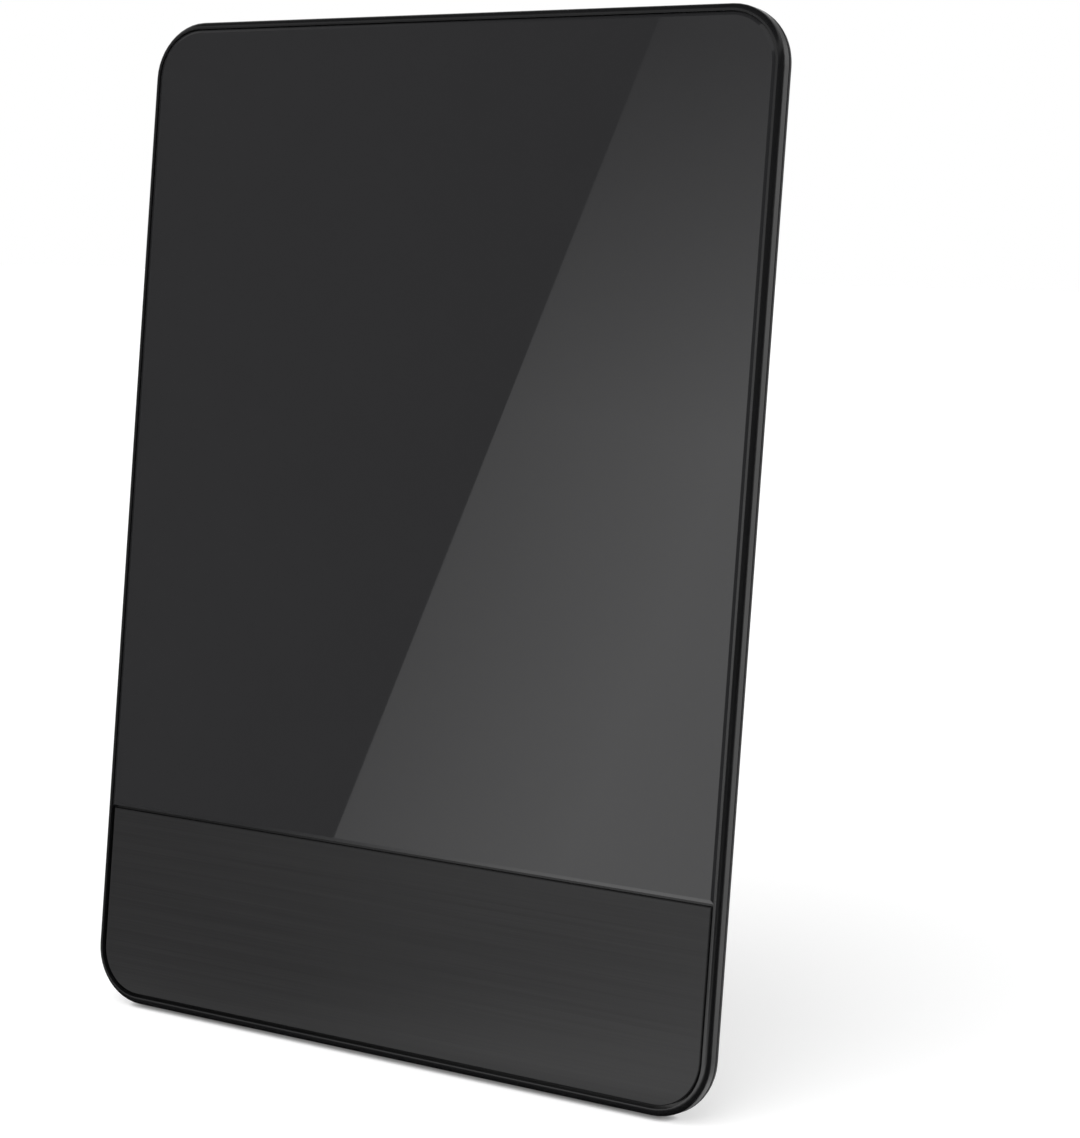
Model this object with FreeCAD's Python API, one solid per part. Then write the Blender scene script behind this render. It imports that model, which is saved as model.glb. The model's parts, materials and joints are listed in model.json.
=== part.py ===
import FreeCAD, Part
import math
import os

# A flat indoor television antenna: a leaning panel on an easel leg.
# Every piece is drawn on the upright panel, with x to the right, y from the front to the back
# and z up the panel from its bottom edge. The last section leans the panel back on its leg and
# puts the origin on the floor under the middle of the whole.
# Lengths are millimetres and angles are degrees.

Vector = FreeCAD.Vector
X_AXIS = Vector(1, 0, 0)
Y_AXIS = Vector(0, 1, 0)
PAST = 1.0  # how far a cutting tool runs past the face that it opens
SAME_DEPTH = 1e-4  # how far apart two depths may be and still count as one

# Panel
PANEL_WIDTH = 181.0
PANEL_HEIGHT = 250.0
CORNER_RADIUS = 14.0
INNER_CORNER = 0.5
LEAN_ANGLE = 7.4

# Front frame: a tray whose lip stands round the two front plates
LIP_WIDTH = 1.4
LIP_END = 1.9
LIP_ROUND = 0.95
TRAY_FLOOR = 1.7
PARTING_CHAMFER = 0.2
TONGUE_HEIGHT = 0.8
TONGUE_THICKNESS = 1.2
TONGUE_CLEARANCE = 0.15
BOSS_RADIUS = 3.0
BOSS_FOOT = 1.0
STAKE_RADIUS = 1.0
STAKE_HEAD_RADIUS = 1.8
STAKE_HEAD_HEIGHT = 0.7
STAKE_CLEARANCE = 0.1
STAKE_INSET = 5.0

# Front plates
SEAM_HEIGHT = 49.5
SEAM_GAP = 0.8
SEAM_RIB = 0.5
SEAM_RIB_SETBACK = 1.3
PANEL_SETBACK = 0.2
PANEL_THICKNESS = 1.8
PANEL_GAP = 0.15
PANEL_BEVEL = 0.8
PANEL_BEVEL_DROP = 0.25
TRIM_SETBACK = 0.4
TRIM_GAP = 0.75
TRIM_BEVEL = 0.2
TAPE_THICKNESS = 0.2
TAPE_INSET = 3.0

# Rear cover
COVER_WALL = 1.6
COVER_SIDE = 1.3
COVER_ROUND = 2.2
BACK_BEVEL = 9.0
BACK_ROUND = 6.0
BOARD_AIR = 1.8

# Screws that hold the cover
SCREW_RADIUS = 1.3
SCREW_HEAD_RADIUS = 2.3
SCREW_HEAD_HEIGHT = 1.7
SCREW_SEAT = 1.6
SCREW_CLEARANCE = 0.3
SCREW_BITE = 5.0
SCREW_TIP_ROOM = 0.6
SCREW_INSET = 13.0

# Boards and radiators
BOARD_THICKNESS = 1.0
BOARD_INSET = 15.0
BOARD_CORNER = 3.0
BOARD_SPACING = 6.0
BOARD_CLEARANCE = 0.6
BOARD_MARGIN = 2.0
FOIL_THICKNESS = 0.1
LOOP_INSET = 10.0
LOOP_TRACE = 9.0
LOOP_CORNER = 12.0
LOOP_FEED_GAP = 6.0
AMPLIFIER_INSET = 17.0
SHIELD_WIDTH = 17.0
SHIELD_HEIGHT = 20.0
SHIELD_DEPTH = 3.6
SHIELD_WALL = 0.3
SHIELD_ROUND = 1.2
SHIELD_GAP = 1.5
FEED_RADIUS = 0.7
FEED_BEND = 5.0
FEED_RUN = 4.0

# Coaxial socket, a threaded barrel that looks straight back
SOCKET_RADIUS = 4.76
SOCKET_FREE = 7.0
SOCKET_BODY_RADIUS = 4.4
SOCKET_FLANGE = 2.0
SOCKET_RELIEF = 0.6
SOCKET_RELIEF_DEPTH = 0.4
SOCKET_EDGE = 0.4
SOCKET_BORE = 3.3
SOCKET_CORE_SETBACK = 0.8
CONTACT_RADIUS = 1.0
CONTACT_BORE = 0.45
CONTACT_TAIL = 0.4
HEX_ACROSS_FLATS = 11.0
NUT_THICKNESS = 2.5
WASHER_RADIUS = 6.2
WASHER_THICKNESS = 0.6
HOLE_CLEARANCE = 0.15

# Easel leg and its hinge
HINGE_HEIGHT = 150.0
LEG_OPENING = 15.0
LEG_TOP_WIDTH = 58.0
LEG_FOOT_WIDTH = 46.0
LEG_THICKNESS = 3.6
LEG_SKIN = 1.6
LEG_RIM = 2.2
LEG_RIB = 1.6
LEG_RIB_COUNT = 4
LEG_CORNER = 4.0
LEG_EDGE = 0.6
LEG_SIDE_GAP = 0.5
LEG_SWING_GAP = 0.4
KNUCKLE_RADIUS = 3.0
KNUCKLE_SINK = 0.2
EAR_WIDTH = 4.0
EAR_GAP = 0.4
EAR_INSET = 0.2
HEEL_LENGTH = 6.0
STOP_GAP = 0.05
STOP_WIDTH = 3.0
PIN_RADIUS = 1.25
PIN_CLEARANCE = 0.06
PIN_END_GAP = 0.3
SNAP_SHARE = 0.85
SCOOP_RADIUS = 12.0
SCOOP_HEIGHT = 24.0
SCOOP_DEPTH = 3.0

# Rubber ends
LEG_PAD_HEIGHT = 4.0
LEG_PAD_INSET = 3.0
LEG_PAD_TONGUE = 2.0
LEG_PAD_TONGUE_THICKNESS = 1.2
BASE_PAD_LENGTH = 24.0
BASE_PAD_DEPTH = 2.6
BASE_PAD_PROUD = 0.5
BASE_PAD_SPREAD = 110.0

# Depths from the front plane, stacked up from the front
tray_front = PANEL_SETBACK + PANEL_THICKNESS + TAPE_THICKNESS
frame_depth = tray_front + TRAY_FLOOR
board_back = frame_depth + BOARD_THICKNESS
foil_back = board_back + FOIL_THICKNESS
pocket_floor = foil_back + BOARD_AIR + COVER_WALL
hinge_y = pocket_floor + LEG_SWING_GAP + KNUCKLE_RADIUS
back_depth = hinge_y + KNUCKLE_RADIUS + KNUCKLE_SINK
leg_inner = back_depth - LEG_THICKNESS
recess_floor = leg_inner - LEG_SWING_GAP

# Insets from the panel's outer edge
tongue_outer = COVER_WALL + TONGUE_CLEARANCE
tongue_inner = tongue_outer + TONGUE_THICKNESS

# Rear cover's section: a side wall, a round, a bevel and a flat back
half_width = PANEL_WIDTH / 2
cover_edge = frame_depth + COVER_SIDE
bevel_rise = back_depth - cover_edge
bevel_angle = math.degrees(math.atan2(bevel_rise, BACK_BEVEL))
edge_turn = math.radians(90 - bevel_angle)
edge_room = COVER_SIDE - 2 * PARTING_CHAMFER
edge_round = min(COVER_ROUND, edge_room / math.tan(edge_turn / 2))
round_start = cover_edge - edge_round * math.tan(edge_turn / 2)

# Floor: the lowest point of the cover's rounded edge is one pad's height above it
lean = math.radians(LEAN_ANGLE)
lowest_y = round_start + edge_round * math.sin(lean)
lowest_z = edge_round * (1 - math.cos(lean))
floor_drop = BASE_PAD_PROUD + lowest_y * math.sin(lean) - lowest_z * math.cos(lean)
hinge_above_floor = HINGE_HEIGHT * math.cos(lean) - hinge_y * math.sin(lean) + floor_drop
leg_slant = math.radians(LEG_OPENING - LEAN_ANGLE)


def floor_z(y):
    """Height on the upright panel at which the floor passes depth y."""
    return (y * math.sin(lean) - floor_drop) / math.cos(lean)


def leg_reach(y):
    """Distance from the hinge down to the floor, along the leg, at depth y of the folded leg."""
    return (hinge_above_floor + (y - hinge_y) * math.sin(leg_slant)) / math.cos(leg_slant)


def outline(corners, y):
    """Closed wire at depth y through corners (x, z, radius), rounded where the radius is not 0."""
    edges = []
    ends = []
    count = len(corners)
    for i, (x, z, radius) in enumerate(corners):
        corner = Vector(x, y, z)
        before = Vector(corners[i - 1][0], y, corners[i - 1][1]) - corner
        after = Vector(corners[(i + 1) % count][0], y, corners[(i + 1) % count][1]) - corner
        before.normalize()
        after.normalize()
        half_turn = before.getAngle(after) / 2
        reach = radius / math.tan(half_turn)
        middle_way = before + after
        middle_way.normalize()
        middle = corner + middle_way * (radius / math.sin(half_turn) - radius)
        ends.append((corner + before * reach, middle, corner + after * reach))
    for i, (start, middle, end) in enumerate(ends):
        if corners[i][2] > 0:
            edges.append(Part.Arc(start, middle, end).toShape())
        edges.append(Part.makeLine(end, ends[(i + 1) % count][0]))
    return Part.Wire(edges)


def plate(corners, y_front, y_back):
    """Flat plate with the given corners, from one depth to another."""
    face = Part.Face(outline(corners, y_front))
    return face.extrude(Vector(0, y_back - y_front, 0))


def rectangle(x_low, x_high, z_low, z_high, radius=0.0):
    """Corners of a rectangle, all with one radius."""
    return [
        (x_low, z_low, radius),
        (x_high, z_low, radius),
        (x_high, z_high, radius),
        (x_low, z_high, radius),
    ]


def panel_corners(inset):
    """The panel's rounded outline, drawn in by an inset."""
    half = half_width - inset
    radius = max(CORNER_RADIUS - inset, INNER_CORNER)
    return rectangle(-half, half, inset, PANEL_HEIGHT - inset, radius)


def post(x, z, radius, y_front, y_back):
    """Round post that runs from one depth to another."""
    return Part.makeCylinder(radius, y_back - y_front, Vector(x, y_front, z), Y_AXIS)


def section(points, x_low, x_high):
    """Solid with a cross-section of (y, z) points, from one x to another."""
    corners = [Vector(x_low, y, z) for y, z in points]
    face = Part.Face(Part.makePolygon(corners + corners[:1]))
    return face.extrude(Vector(x_high - x_low, 0, 0))


def hexagon(x, z, across_flats, y_front, y_back):
    """Hexagonal prism along y."""
    radius = across_flats / math.sqrt(3)
    corners = []
    for i in range(6):
        angle = math.radians(60 * i)
        corners.append((x + radius * math.cos(angle), z + radius * math.sin(angle), 0.0))
    return plate(corners, y_front, y_back)


def edges_at(shape, y):
    """Edges that lie wholly at one depth."""
    found = []
    for edge in shape.Edges:
        box = edge.BoundBox
        if max(abs(box.YMin - y), abs(box.YMax - y)) < SAME_DEPTH:
            found.append(edge)
    return found


def fuse(first, *others):
    """One solid of several that meet, without the seams between coplanar faces."""
    return first.multiFuse(others).removeSplitter()


# Places that repeat
screw_rows = (SCREW_INSET, PANEL_HEIGHT / 2, PANEL_HEIGHT - SCREW_INSET)
screw_places = [(side * (half_width - SCREW_INSET), z) for z in screw_rows for side in (-1, 1)]
boss_top = frame_depth + SCREW_BITE
screw_seat_y = boss_top + SCREW_SEAT

nut_radius = HEX_ACROSS_FLATS / math.sqrt(3)
board_half = half_width - BOARD_INSET
amplifier_right = half_width - AMPLIFIER_INSET
socket_x = amplifier_right - BOARD_MARGIN - nut_radius
shield_right = socket_x - nut_radius - SHIELD_GAP
shield_left = shield_right - SHIELD_WIDTH
amplifier_left = shield_left - BOARD_MARGIN
shield_bottom = BOARD_INSET + BOARD_MARGIN
shield_top = shield_bottom + SHIELD_HEIGHT
amplifier_top = shield_top + 2 * STAKE_INSET
socket_z = (BOARD_INSET + amplifier_top) / 2
board_bottom = amplifier_top + BOARD_SPACING
board_top = PANEL_HEIGHT - BOARD_INSET
board_rows = (board_bottom + STAKE_INSET, board_top - STAKE_INSET)
stake_places = [(side * (board_half - STAKE_INSET), z) for z in board_rows for side in (-1, 1)]
stake_places.append((amplifier_left + STAKE_INSET, amplifier_top - STAKE_INSET))
stake_places.append((amplifier_right - STAKE_INSET, BOARD_INSET + STAKE_INSET))

inner_back = back_depth - COVER_WALL
washer_back = back_depth + WASHER_THICKNESS
nut_back = washer_back + NUT_THICKNESS
thread_start = nut_back + SOCKET_RELIEF
socket_end = thread_start + SOCKET_FREE
core_end = socket_end - SOCKET_CORE_SETBACK

leg_top_half = LEG_TOP_WIDTH / 2
leg_foot_half = LEG_FOOT_WIDTH / 2
ear_outer = leg_top_half - EAR_INSET
ear_inner = ear_outer - EAR_WIDTH
knuckle_outer = ear_inner - EAR_GAP
knuckle_inner = EAR_WIDTH + EAR_GAP
knuckle_width = knuckle_outer - knuckle_inner
leg_top = HINGE_HEIGHT - KNUCKLE_RADIUS - LEG_SWING_GAP - PIN_RADIUS
leg_end = HINGE_HEIGHT - leg_reach(leg_inner) + LEG_PAD_HEIGHT
swing_radius = math.hypot(back_depth - hinge_y, HEEL_LENGTH)
recess_top = HINGE_HEIGHT + swing_radius + LEG_SWING_GAP


def front_frame():
    """Moulded tray: rounded lip, seam rib, floor, tongue for the cover, screw bosses and board stakes."""
    body = plate(panel_corners(0), 0, frame_depth)
    body = body.makeFillet(LIP_ROUND, edges_at(body, 0))
    body = body.makeChamfer(PARTING_CHAMFER, edges_at(body, frame_depth))
    side = half_width - LIP_WIDTH
    opening = rectangle(-side, side, LIP_END, PANEL_HEIGHT - LIP_END, CORNER_RADIUS - LIP_END)
    body = body.cut(plate(opening, -PAST, tray_front))
    tongue_top = frame_depth + TONGUE_HEIGHT
    tongue = plate(panel_corners(tongue_outer), frame_depth, tongue_top)
    tongue = tongue.cut(plate(panel_corners(tongue_inner), frame_depth - PAST, tongue_top + PAST))
    seam_low = SEAM_HEIGHT - SEAM_RIB / 2
    seam_corners = rectangle(-side, side, seam_low, seam_low + SEAM_RIB)
    added = [tongue, plate(seam_corners, SEAM_RIB_SETBACK, tray_front)]
    drilled = []
    for x, z in screw_places:
        added.append(post(x, z, BOSS_RADIUS, frame_depth, boss_top))
        drilled.append(post(x, z, SCREW_RADIUS, frame_depth - BOSS_FOOT, boss_top + PAST))
    for x, z in stake_places:
        added.append(post(x, z, STAKE_RADIUS, frame_depth, board_back))
        added.append(post(x, z, STAKE_HEAD_RADIUS, board_back, board_back + STAKE_HEAD_HEIGHT))
    return fuse(body, *added).cut(Part.makeCompound(drilled))


def front_plate_corners(gap, z_low, z_high, r_low, r_high):
    """Corners of a plate inside the lip, with one radius below and another above."""
    half = half_width - LIP_WIDTH - gap
    return [(-half, z_low, r_low), (half, z_low, r_low), (half, z_high, r_high), (-half, z_high, r_high)]


def front_panel_corners(inset):
    """The glossy plate's outline, drawn in by an inset."""
    low = SEAM_HEIGHT + SEAM_GAP / 2 + inset
    edge = LIP_END + PANEL_GAP + inset
    return front_plate_corners(PANEL_GAP + inset, low, PANEL_HEIGHT - edge, 0.0, CORNER_RADIUS - edge)


def front_panel():
    """Glossy plate above the seam, with a shallow bevel round its face."""
    bevel_back = PANEL_SETBACK + PANEL_BEVEL_DROP
    body = plate(front_panel_corners(0), bevel_back, PANEL_SETBACK + PANEL_THICKNESS)
    face = outline(front_panel_corners(PANEL_BEVEL), PANEL_SETBACK)
    return fuse(body, Part.makeLoft([face, outline(front_panel_corners(0), bevel_back)], True, True))


def trim_strip():
    """Brushed strip below the seam, set a little deeper than the panel."""
    low = LIP_END + TRIM_GAP
    corner = CORNER_RADIUS - low
    corners = front_plate_corners(TRIM_GAP, low, SEAM_HEIGHT - SEAM_GAP / 2, corner, 0.0)
    body = plate(corners, TRIM_SETBACK, tray_front - TAPE_THICKNESS)
    return body.makeChamfer(TRIM_BEVEL, edges_at(body, TRIM_SETBACK))


def panel_tape():
    """Adhesive sheet between the glossy plate and the tray."""
    inset = LIP_END + TAPE_INSET
    low = SEAM_HEIGHT + TAPE_INSET
    corner = CORNER_RADIUS - inset
    corners = front_plate_corners(TAPE_INSET, low, PANEL_HEIGHT - inset, 0.0, corner)
    return plate(corners, tray_front - TAPE_THICKNESS, tray_front)


def trim_tape():
    """Adhesive sheet between the brushed strip and the tray."""
    inset = LIP_END + TAPE_INSET
    corner = CORNER_RADIUS - inset
    corners = front_plate_corners(TAPE_INSET, inset, SEAM_HEIGHT - TAPE_INSET, corner, 0.0)
    return plate(corners, tray_front - TAPE_THICKNESS, tray_front)


def cover_outside():
    """Outer form of the rear cover: side wall, rounded edge, bevel and flat back."""
    body = plate(panel_corners(0), frame_depth, cover_edge)
    wires = [outline(panel_corners(0), cover_edge), outline(panel_corners(BACK_BEVEL), back_depth)]
    body = body.fuse(Part.makeLoft(wires, True, True)).removeSplitter()
    body = body.makeFillet(edge_round, edges_at(body, cover_edge))
    body = body.makeFillet(BACK_ROUND, edges_at(body, back_depth))
    return body.makeChamfer(PARTING_CHAMFER, edges_at(body, frame_depth))


def cover_inside():
    """Hollow of the rear cover, one wall in from its outer form."""
    slope = math.radians(bevel_angle)
    slope_y = cover_edge - COVER_WALL / math.cos(slope)
    side_end = slope_y + COVER_WALL * math.tan(slope)
    top_inset = (inner_back - slope_y) / math.tan(slope)
    body = plate(panel_corners(COVER_WALL), frame_depth - PAST, side_end)
    wires = [outline(panel_corners(COVER_WALL), side_end), outline(panel_corners(top_inset), inner_back)]
    return body.fuse(Part.makeLoft(wires, True, True)).removeSplitter()


def leg_corners(grow, z_low, z_high):
    """The leg's tapered outline between two heights, grown sideways."""
    span = leg_top - leg_end
    low_half = leg_foot_half + (leg_top_half - leg_foot_half) * (z_low - leg_end) / span + grow
    high_half = leg_foot_half + (leg_top_half - leg_foot_half) * (z_high - leg_end) / span + grow
    low_corners = [(-low_half, z_low, 0.0), (low_half, z_low, 0.0)]
    return low_corners + [(high_half, z_high, 0.0), (-high_half, z_high, 0.0)]


def leg_recess(grow):
    """Room for the folded leg and its knuckles, grown by a wall's thickness."""
    side = LEG_SIDE_GAP + grow
    back = back_depth + PAST
    bed = plate(leg_corners(side, -PAST, leg_top), recess_floor - grow, back)
    pocket_corners = leg_corners(side, leg_top - LEG_SWING_GAP - grow, recess_top + grow)
    rooms = [plate(pocket_corners, pocket_floor - grow, back)]
    scoop_floor = back_depth - SCOOP_DEPTH - grow
    scoop_x = leg_foot_half + LEG_SIDE_GAP
    for x in (-scoop_x, scoop_x):
        rooms.append(post(x, SCOOP_HEIGHT, SCOOP_RADIUS + grow, scoop_floor, back))
    return bed.multiFuse(rooms)


def hinge_ears():
    """Three ears on the pocket floor, bored for the pin, each with a snap slot towards the back."""
    spans = ((-EAR_WIDTH, EAR_WIDTH), (ear_inner, ear_outer), (-ear_outer, -ear_inner))
    bore_radius = PIN_RADIUS + PIN_CLEARANCE
    slot_half = SNAP_SHARE * PIN_RADIUS
    ears = []
    for low, high in spans:
        corners = rectangle(low, high, HINGE_HEIGHT - KNUCKLE_RADIUS, HINGE_HEIGHT + KNUCKLE_RADIUS)
        ear = plate(corners, pocket_floor, hinge_y)
        start = Vector(low, hinge_y, HINGE_HEIGHT)
        ear = fuse(ear, Part.makeCylinder(KNUCKLE_RADIUS, high - low, start, X_AXIS))
        bore = Part.makeCylinder(bore_radius, high - low + 2 * PAST, start - X_AXIS * PAST, X_AXIS)
        slot = rectangle(low - PAST, high + PAST, HINGE_HEIGHT - slot_half, HINGE_HEIGHT + slot_half)
        ears.append(ear.cut(bore).cut(plate(slot, hinge_y, back_depth)))
    return ears


def stop_ribs():
    """Wedges on the pocket floor that the heels of the open leg come to rest on."""
    opening = math.radians(LEG_OPENING)
    low = HINGE_HEIGHT + KNUCKLE_RADIUS + LEG_SWING_GAP
    offset = (hinge_y - leg_inner + STOP_GAP) / math.cos(opening)
    low_y = hinge_y - offset - (low - HINGE_HEIGHT) * math.tan(opening)
    high_y = hinge_y - offset - (recess_top - HINGE_HEIGHT) * math.tan(opening)
    wedge = [(pocket_floor, low), (low_y, low), (high_y, recess_top), (pocket_floor, recess_top)]
    middle = (knuckle_inner + knuckle_outer) / 2
    return [section(wedge, x - STOP_WIDTH / 2, x + STOP_WIDTH / 2) for x in (-middle, middle)]


def rear_cover():
    """Shell with the leg's recess, hinge ears, screw towers and the socket's hole."""
    outside = cover_outside()
    well_radius = SCREW_HEAD_RADIUS + SCREW_CLEARANCE
    towers = [post(x, z, well_radius + COVER_WALL, boss_top, back_depth) for x, z in screw_places]
    walls = leg_recess(COVER_WALL).multiFuse(towers).common(outside)
    body = outside.cut(cover_inside()).fuse(walls)
    past_back = back_depth + PAST
    cuts = [leg_recess(0.0)]
    for x, z in screw_places:
        cuts.append(post(x, z, well_radius, screw_seat_y, past_back))
        cuts.append(post(x, z, SCREW_RADIUS + SCREW_CLEARANCE, boss_top - PAST, screw_seat_y + PAST))
    cuts.append(post(socket_x, socket_z, SOCKET_RADIUS + HOLE_CLEARANCE, inner_back - PAST, past_back))
    body = body.cut(Part.makeCompound(cuts))
    return fuse(body, *hinge_ears(), *stop_ribs())


def case_screws():
    """Self-tapping screws with rounded heads."""
    screws = []
    for x, z in screw_places:
        head = post(x, z, SCREW_HEAD_RADIUS, screw_seat_y, screw_seat_y + SCREW_HEAD_HEIGHT)
        head = head.makeFillet(SCREW_HEAD_HEIGHT / 2, edges_at(head, screw_seat_y + SCREW_HEAD_HEIGHT))
        tip_y = frame_depth - BOSS_FOOT + SCREW_TIP_ROOM
        screws.append(fuse(head, post(x, z, SCREW_RADIUS, tip_y, screw_seat_y)))
    return Part.makeCompound(screws)


def staked_board(corners, holes):
    """Printed board on the tray, with a hole for each stake that holds it and room for the bosses."""
    board = plate(corners, frame_depth, board_back)
    low = frame_depth - PAST
    high = board_back + PAST
    cuts = [post(x, z, STAKE_RADIUS + STAKE_CLEARANCE, low, high) for x, z in holes]
    cuts += [post(x, z, BOSS_RADIUS + BOARD_CLEARANCE, low, high) for x, z in screw_places]
    return board.cut(Part.makeCompound(cuts))


def antenna_board():
    """Large board that carries the two loops."""
    corners = rectangle(-board_half, board_half, board_bottom, board_top, BOARD_CORNER)
    return staked_board(corners, stake_places[:4])


def amplifier_board():
    """Small board under the socket, with a hole for the socket's centre contact."""
    corners = rectangle(amplifier_left, amplifier_right, BOARD_INSET, amplifier_top, BOARD_CORNER)
    tail_radius = CONTACT_TAIL + STAKE_CLEARANCE
    tail_hole = post(socket_x, socket_z, tail_radius, frame_depth - PAST, board_back + PAST)
    return staked_board(corners, stake_places[4:]).cut(tail_hole)


def radiator(side):
    """Foil loop on one half of the antenna board, with a tab to the feed at the middle."""
    low = board_bottom + LOOP_INSET
    high = board_top - LOOP_INSET
    outer = board_half - LOOP_INSET
    inner = LOOP_FEED_GAP / 2 + LOOP_TRACE
    loop = plate(rectangle(inner, outer, low, high, LOOP_CORNER), board_back, foil_back)
    window_sides = (inner + LOOP_TRACE, outer - LOOP_TRACE)
    window_radius = max(LOOP_CORNER - LOOP_TRACE, INNER_CORNER)
    window = rectangle(*window_sides, low + LOOP_TRACE, high - LOOP_TRACE, window_radius)
    loop = loop.cut(plate(window, board_back - PAST, foil_back + PAST))
    tab = rectangle(LOOP_FEED_GAP / 2, inner + LOOP_CORNER, low, low + LOOP_TRACE)
    loop = fuse(loop, plate(tab, board_back, foil_back))
    if side < 0:
        loop = loop.mirror(Vector(0, 0, 0), X_AXIS)
    return loop


def amplifier_shield():
    """Folded can over the amplifier, open towards its board."""
    back = board_back + SHIELD_DEPTH
    outer = rectangle(shield_left, shield_right, shield_bottom, shield_top, SHIELD_ROUND)
    can = plate(outer, board_back, back)
    can = can.makeFillet(SHIELD_ROUND / 2, edges_at(can, back))
    inner_sides = (shield_left + SHIELD_WALL, shield_right - SHIELD_WALL)
    inner_rows = (shield_bottom + SHIELD_WALL, shield_top - SHIELD_WALL)
    inner = rectangle(*inner_sides, *inner_rows, SHIELD_ROUND / 2)
    return can.cut(plate(inner, board_back - PAST, back - SHIELD_WALL))


def feed_cable():
    """Thin coaxial lead from the right loop's tab down to the amplifier."""
    y = foil_back + FEED_RADIUS
    start_x = LOOP_FEED_GAP / 2 + LOOP_TRACE / 2
    start_z = board_bottom + LOOP_INSET + LOOP_TRACE / 2
    end_x = amplifier_left + STAKE_INSET * 2
    turn_z = board_bottom
    end_z = amplifier_top - FEED_RUN
    chord = FEED_BEND * (1 - math.sqrt(0.5))
    down = Vector(start_x, y, turn_z + FEED_BEND)
    across = Vector(start_x + FEED_BEND, y, turn_z)
    before = Vector(end_x - FEED_BEND, y, turn_z)
    below = Vector(end_x, y, turn_z - FEED_BEND)
    path = [
        Part.makeLine(Vector(start_x, y, start_z), down),
        Part.Arc(down, Vector(start_x + chord, y, turn_z + chord), across).toShape(),
        Part.makeLine(across, before),
        Part.Arc(before, Vector(end_x - chord, y, turn_z - chord), below).toShape(),
        Part.makeLine(below, Vector(end_x, y, end_z)),
    ]
    ring = Part.Wire(Part.makeCircle(FEED_RADIUS, Vector(start_x, y, start_z), Vector(0, 0, 1)))
    return Part.Wire(path).makePipeShell([ring], True, True)


def output_socket():
    """Socket body: shank on the board, hexagon flange inside the cover and a threaded barrel outside."""
    flange_y = inner_back - SOCKET_FLANGE
    shank = post(socket_x, socket_z, SOCKET_BODY_RADIUS, board_back, flange_y)
    flange = hexagon(socket_x, socket_z, HEX_ACROSS_FLATS, flange_y, inner_back)
    barrel = post(socket_x, socket_z, SOCKET_RADIUS, inner_back, nut_back)
    relief = post(socket_x, socket_z, SOCKET_RADIUS - SOCKET_RELIEF_DEPTH, nut_back, thread_start)
    thread = post(socket_x, socket_z, SOCKET_RADIUS, thread_start, socket_end)
    thread = thread.makeChamfer(SOCKET_EDGE, edges_at(thread, socket_end))
    body = fuse(shank, flange, barrel, relief, thread)
    return body.cut(post(socket_x, socket_z, SOCKET_BORE, board_back - PAST, socket_end + PAST))


def socket_insulator():
    """Plastic core in the socket, bored for the centre contact."""
    core = post(socket_x, socket_z, SOCKET_BORE, board_back, core_end)
    return core.cut(post(socket_x, socket_z, CONTACT_RADIUS, board_back - PAST, core_end + PAST))


def socket_contact():
    """Centre contact: a tube for the plug's wire and a tail through the board."""
    tube = post(socket_x, socket_z, CONTACT_RADIUS, board_back, core_end - SOCKET_CORE_SETBACK)
    tail = post(socket_x, socket_z, CONTACT_TAIL, frame_depth, board_back)
    return fuse(tube, tail).cut(post(socket_x, socket_z, CONTACT_BORE, inner_back, socket_end))


def socket_washer():
    """Plain washer between the cover and the nut."""
    ring = post(socket_x, socket_z, WASHER_RADIUS, back_depth, washer_back)
    hole_radius = SOCKET_RADIUS + HOLE_CLEARANCE
    return ring.cut(post(socket_x, socket_z, hole_radius, back_depth - PAST, washer_back + PAST))


def socket_nut():
    """Hexagon nut with its corners turned off."""
    prism = hexagon(socket_x, socket_z, HEX_ACROSS_FLATS, washer_back, nut_back)
    turned = post(socket_x, socket_z, nut_radius, washer_back, nut_back)
    turned = turned.makeChamfer(SOCKET_EDGE, edges_at(turned, washer_back) + edges_at(turned, nut_back))
    bore = post(socket_x, socket_z, SOCKET_RADIUS, washer_back - PAST, nut_back + PAST)
    return prism.common(turned).cut(bore)


def opened(shape):
    """A piece of the folded leg, swung out to the leg's stop."""
    turned = shape.copy()
    turned.rotate(Vector(0, hinge_y, HINGE_HEIGHT), X_AXIS, LEG_OPENING)
    return turned


def leg_plate_corners(inset, z_low, z_high, radius):
    """The leg's outline drawn in by an inset, with rounded lower corners."""
    corners = leg_corners(-inset, z_low, z_high)
    return [(x, z, radius if z == z_low else 0.0) for x, z, _ in corners]


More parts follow.
